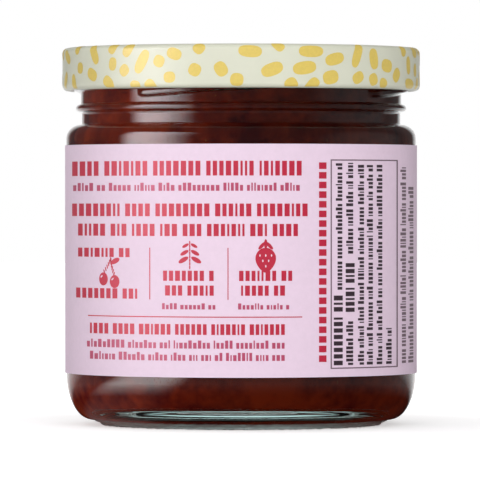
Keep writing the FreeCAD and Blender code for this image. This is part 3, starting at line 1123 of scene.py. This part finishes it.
class JAMJAR_OT_cap_ovals(bpy.types.Operator):
    """Prints ovals of mixed size and direction over the cap's skirt, edge and top"""

    bl_idname = "jamjar.cap_ovals"
    bl_label = "Cap ovals"

    def execute(self, context):
        settings = context.scene.jam_jar_cap
        rng = random.Random(17)
        top = cap_top_outline(settings, context.scene.jam_jar_glass, 0)
        top.to(CAP_RADIUS - settings.corner, CAP_TOP, 3)
        half = settings.curl / 2
        middle_radius, middle_height = CAP_RADIUS - half, CAP_BOTTOM + half
        tilts = [math.radians(degrees) for degrees in range(-50, 1, 5)]
        curl = [(middle_radius + half * math.cos(t), middle_height + half * math.sin(t)) for t in tilts]
        skirt = Outline(*curl[0])
        for radius, height in curl[1:]:
            skirt.to(radius, height)
        skirt.to(CAP_RADIUS, CAP_TOP - settings.corner, 6)
        skirt.corner((CAP_RADIUS, CAP_TOP), (CAP_RADIUS - settings.corner, CAP_TOP), 12)
        skirt.to(CAP_RADIUS - 3 * MM, CAP_TOP, 2)
        reach = sum(math.dist(a, b) for a, b in zip(skirt.points, skirt.points[1:]))
        placed = []

        def spread(x, y, long, wide, turn):
            """Three small circles that stand for an oval when space is looked for."""
            out = (long - wide) / 2
            return [
                (x + out * side * math.cos(turn), y + out * side * math.sin(turn), wide / 2)
                for side in (-1, 0, 1)
            ]

        def clear(circles, others, round_trip):
            """True if no circle comes near another oval's; round_trip is the way round, back to the start."""
            for x, y, own in circles:
                for other_x, other_y, other in others:
                    across = abs(x - other_x)
                    if round_trip:
                        across = min(across, round_trip - across)
                    if math.hypot(across, y - other_y) < own + other + settings.oval_space:
                        return False
            return True

        def fill(on_top, tries, wanted, pick, round_trip):
            """Places ovals where pick says, each where there is room for it."""
            taken, made = [], 0
            for _ in range(tries):
                if made == wanted:
                    return
                long = rng.uniform(settings.oval_short, settings.oval_long)
                wide = min(long, rng.uniform(2.1, 2.8) * MM)
                turn = rng.uniform(0, math.pi)
                x, y = pick(long)
                circles = spread(x, y, long, wide, turn)
                if clear(circles, taken, round_trip):
                    taken.extend(circles)
                    placed.append((on_top, x, y, long, wide, turn))
                    made += 1

        def skirt_place(long):
            return rng.uniform(0, TURN * CAP_RADIUS), rng.uniform(0.2 * MM, reach - 2.4 * MM)

        def top_place(long):
            limit = CAP_RADIUS - 3.4 * MM - long / 2
            around, away = rng.uniform(0, TURN), limit * math.sqrt(rng.random())
            return away * math.cos(around), away * math.sin(around)

        fill(False, 30000, settings.oval_count, skirt_place, TURN * CAP_RADIUS)
        fill(True, 12000, 1000, top_place, 0)
        piece = new_sheet("cap_ovals")
        for on_top, across, up, long, wide, turn in placed:
            bpy.ops.mesh.select_all(action="DESELECT")
            bpy.ops.mesh.primitive_circle_add(vertices=20, radius=0.5, fill_type="TRIFAN", location=(0, 0, 0))
            bpy.ops.mesh.subdivide(number_cuts=4)
            mesh = bmesh.from_edit_mesh(piece.data)
            for vertex in mesh.verts:
                if not vertex.select:
                    continue
                # a circle made a little squarer, then drawn out and turned
                squarer = (abs(vertex.co.x) ** 2.5 + abs(vertex.co.y) ** 2.5) ** 0.4 or 1
                fuller = vertex.co.length / squarer
                x, y = vertex.co.x * fuller * long, vertex.co.y * fuller * wide
                x, y = x * math.cos(turn) - y * math.sin(turn), x * math.sin(turn) + y * math.cos(turn)
                if on_top:
                    away = min(math.hypot(across + x, up + y), top.points[-1][0])
                    vertex.co = (across + x, up + y, height_at(top.points, away))
                else:
                    r, z = walk(skirt.points, min(reach, max(0, up + y)))
                    around = (across + x) / CAP_RADIUS
                    vertex.co = (r * math.sin(around), -r * math.cos(around), z)
            bmesh.update_edit_mesh(piece.data)
        bpy.ops.object.mode_set(mode="OBJECT")
        ink = speckled("yellow cap ink", settings.yellow, 0.36, 0.5 * MM, 0.04)
        finish_piece(piece, "cap_enamel", ink, smooth=60)
        return {"FINISHED"}


# ---- stage ------------------------------------------------------------------------------------------
def lamp(name, place, aim, width, height, power, lights=True, mirrored=True, levels=None):
    """A soft rectangular lamp that the camera doesn't see; levels run across it, as place and brightness."""
    light = bpy.data.lights.new(name, "AREA")
    light.shape = "RECTANGLE"
    light.size, light.size_y, light.energy = width, height, power
    item = bpy.data.objects.new(name, light)
    bpy.context.scene.collection.objects.link(item)
    item.location = place
    facing = (Vector(aim) - Vector(place)).to_track_quat("-Z", "Y")
    item.rotation_euler = facing.to_euler()
    item.visible_camera = False
    item.visible_diffuse = lights
    item.visible_glossy = mirrored
    item.visible_transmission = False
    if levels:
        light.use_nodes = True
        tree = light.node_tree
        across = facing @ Vector((1, 0, 0))
        middle = Vector(place).dot(across)
        where = add_node(tree, "NewGeometry")
        away = add_node(
            tree, "VectorMath", {0: where.outputs["Position"], 1: tuple(across)}, operation="DOT_PRODUCT"
        )
        share = add_node(
            tree, "MapRange",
            {"Value": away.outputs["Value"], "From Min": middle - width / 2, "From Max": middle + width / 2},
        )
        ramp = add_node(tree, "ValToRGB", {"Fac": share.outputs["Result"]})
        ramp.color_ramp.interpolation = "EASE"
        for number, (position, brightness) in enumerate(levels):
            if number >= len(ramp.color_ramp.elements):
                ramp.color_ramp.elements.new(position)
            ramp.color_ramp.elements[number].position = position
            ramp.color_ramp.elements[number].color = (brightness, brightness, brightness, 1)
        tree.links.new(ramp.outputs["Color"], tree.nodes["Emission"].inputs["Strength"])
    return item


def pale_floor(settings):
    """Matt white floor that keeps the jar's shadow and fades to white further out.

    Polished faces mirror it as a painted reflection that glows: painted dark in front of the jar, a painted
    pool of window light under the window, and white behind.
    """
    material, tree, shader = new_material("matt white floor")
    tree.nodes.remove(shader)
    place = add_node(tree, "TexCoord")
    away = add_node(tree, "VectorMath", {0: place.outputs["Object"]}, operation="LENGTH")
    fade = add_node(
        tree, "MapRange",
        {"Value": away.outputs["Value"], "From Min": 0.055, "From Max": 0.13, "To Min": 0.5, "To Max": 1.0},
    )
    rays = add_node(tree, "LightPath")
    seen = add_node(
        tree, "Math",
        {0: rays.outputs["Is Camera Ray"], 1: rays.outputs["Is Transmission Ray"]}, operation="MAXIMUM",
    )
    amount = add_node(tree, "Math", {0: seen.outputs[0], 1: fade.outputs["Result"]}, operation="MULTIPLY")
    diffuse = add_node(tree, "BsdfDiffuse", {"Color": rgba(settings.floor)})
    glow = add_node(tree, "Emission", {"Color": (1, 1, 1, 1), "Strength": amount.outputs[0]})
    total = add_node(tree, "AddShader", {0: diffuse.outputs[0], 1: glow.outputs[0]})
    # painted reflection for polished faces: a glowing pool of window light on the floor under the window
    heading = add_node(tree, "VectorMath", {0: place.outputs["Object"]}, operation="NORMALIZE")
    under_window = add_node(
        tree, "VectorMath", {0: heading.outputs["Vector"], 1: WINDOW_HEADING}, operation="DOT_PRODUCT"
    )
    window = add_node(
        tree, "MapRange",
        {
            "Value": under_window.outputs["Value"], "From Min": 0.86, "From Max": 1.0,
            "To Min": 0.22, "To Max": 4.6,
        },
        interpolation_type="SMOOTHSTEP",
    )
    behind_jar = add_node(
        tree, "VectorMath", {0: heading.outputs["Vector"], 1: (0, 1, 0)}, operation="DOT_PRODUCT"
    )
    behind = add_node(
        tree, "MapRange",
        {"Value": behind_jar.outputs["Value"], "From Min": 0.5, "From Max": 0.9},
    )
    # painted shade in that reflection: the floor goes dark near the jar
    painted_shade_near_jar = add_node(
        tree, "MapRange",
        {"Value": away.outputs["Value"], "From Min": 0.048, "From Max": 0.09, "To Min": 0.03, "To Max": 1.0},
    )
    painted_window_pool = add_node(
        tree, "Math", {0: window.outputs["Result"], 1: painted_shade_near_jar.outputs["Result"]}, operation="MULTIPLY"
    )
    mirrored = add_node(tree, "Math", {0: painted_window_pool.outputs[0], 1: behind.outputs["Result"]}, operation="ADD")
    painted_reflection = add_node(tree, "Emission", {"Color": (1, 1, 1, 1), "Strength": mirrored.outputs[0]})
    either = add_node(
        tree, "MixShader", {0: rays.outputs["Is Glossy Ray"], 1: total.outputs[0], 2: painted_reflection.outputs[0]}
    )
    tree.links.new(either.outputs[0], tree.nodes["Material Output"].inputs["Surface"])
    return material


def studio_world(settings):
    """White for the camera and for what glass lets through; soft light on the rest, more from the left."""
    world = bpy.data.worlds.new("studio")
    bpy.context.scene.world = world
    world.use_nodes = True
    tree = world.node_tree
    shader = tree.nodes["Background"]
    rays = add_node(tree, "LightPath")
    place = add_node(tree, "TexCoord")
    axes = add_node(tree, "SeparateXYZ", {"Vector": place.outputs["Generated"]})
    soft = add_node(
        tree, "MapRange",
        {
            "Value": axes.outputs["X"], "From Min": -1, "From Max": 1,
            "To Min": settings.left_light, "To Max": settings.right_light,
        },
    )
    overhead = add_node(
        tree, "MapRange",
        {"Value": axes.outputs["Z"], "From Min": 0.3, "From Max": 0.6, "To Min": 1.0, "To Max": 0.25},
        interpolation_type="SMOOTHSTEP",
    )
    behind = add_node(
        tree, "MapRange",
        {"Value": axes.outputs["Y"], "From Min": 0.9, "From Max": 0.975, "To Min": 0.1, "To Max": 0.9},
        interpolation_type="SMOOTHSTEP",
    )
    right = add_node(
        tree, "MapRange",
        {"Value": axes.outputs["X"], "From Min": 0.72, "From Max": 0.98, "To Min": 0.1, "To Max": 0.3},
        interpolation_type="SMOOTHSTEP",
    )
    mirrored = add_node(
        tree, "Math", {0: behind.outputs["Result"], 1: right.outputs["Result"]}, operation="MAXIMUM"
    )
    clear = add_node(
        tree, "Mix",
        {"Factor": rays.outputs["Is Glossy Ray"], "A": overhead.outputs["Result"], "B": mirrored.outputs[0]},
        data_type="FLOAT",
    )
    scattered = add_node(
        tree, "Math", {0: rays.outputs["Diffuse Depth"], 1: 0.5}, operation="GREATER_THAN"
    )
    bounced = add_node(
        tree, "Mix",
        {"Factor": scattered.outputs[0], "A": clear.outputs["Result"], "B": soft.outputs["Result"]},
        data_type="FLOAT",
    )
    level = add_node(
        tree, "Mix", {"Factor": rays.outputs["Is Camera Ray"], "A": bounced.outputs["Result"], "B": 1.0},
        data_type="FLOAT",
    )
    shader.inputs["Color"].default_value = (1, 1, 1, 1)
    tree.links.new(level.outputs["Result"], shader.inputs["Strength"])


class JAMJAR_OT_stage(bpy.types.Operator):
    """Adds the floor, the lamps, the world and the camera"""

    bl_idname = "jamjar.stage"
    bl_label = "Stage"

    def execute(self, context):
        settings = context.scene.jam_jar_stage
        start_piece()
        bpy.ops.mesh.primitive_circle_add(vertices=96, radius=3, fill_type="NGON", location=(0, 0, 0))
        floor = context.object
        floor.name = "floor"
        floor.data.materials.append(pale_floor(settings))
        middle = (0, 0, GLASS_HEIGHT / 2)
        # brightest left of its middle, and fading to nothing at both sides, as a curtained window does
        levels = ((0, 0), (0.3, 1), (0.42, 1), (1, 0))
        window = lamp("window", WINDOW_PLACE, middle, 1.15, 0.9, 26, lights=False, levels=levels)
        window.data.color = (1, 0.93, 0.96)
        lamp("front_fill", (0.12, -1.5, 0.5), middle, 1.4, 0.9, 14, mirrored=False)
        studio_world(settings)
        camera = bpy.data.cameras.new("camera")
        camera.lens = 409.6
        camera.sensor_width = 36
        camera.clip_start, camera.clip_end = 0.01, 20
        item = bpy.data.objects.new("camera", camera)
        context.scene.collection.objects.link(item)
        item.location = (-settings.shift, -settings.distance, settings.height)
        item.rotation_euler = (math.pi / 2 - settings.tilt, 0, 0)
        context.scene.camera = item
        context.scene.view_settings.view_transform = "Standard"
        return {"FINISHED"}


OPERATORS = (
    JAMJAR_OT_glass,
    JAMJAR_OT_jam,
    JAMJAR_OT_fruit,
    JAMJAR_OT_label,
    JAMJAR_OT_front_print,
    JAMJAR_OT_emblems,
    JAMJAR_OT_back_print,
    JAMJAR_OT_cap,
    JAMJAR_OT_cap_ovals,
    JAMJAR_OT_stage,
)


class JAMJAR_PT_panel(bpy.types.Panel):
    """Lists the pieces and the stage"""

    bl_idname = "JAMJAR_PT_panel"
    bl_label = "Jam jar"
    bl_space_type = "VIEW_3D"
    bl_region_type = "UI"
    bl_category = "Jam jar"

    def draw(self, context):
        for operator in OPERATORS:
            self.layout.operator(operator.bl_idname)
        for name, group in GROUPS.items():
            box = self.layout.box()
            box.label(text=group.__doc__)
            for key in group.__annotations__:
                box.prop(getattr(context.scene, name), key)


def register():
    """Registers the settings, the operators and the panel."""
    for name, group in GROUPS.items():
        bpy.utils.register_class(group)
        setattr(bpy.types.Scene, name, bpy.props.PointerProperty(type=group))
    for item in (*OPERATORS, JAMJAR_PT_panel):
        bpy.utils.register_class(item)


def unregister():
    """Takes them away again."""
    for item in (JAMJAR_PT_panel, *reversed(OPERATORS)):
        bpy.utils.unregister_class(item)
    for name, group in reversed(GROUPS.items()):
        delattr(bpy.types.Scene, name)
        bpy.utils.unregister_class(group)


def main():
    """Models every piece in order."""
    register()
    for operator in OPERATORS:
        getattr(bpy.ops.jamjar, operator.bl_idname.split(".")[1])()
    start_piece()


if __name__ == "__main__":
    main()
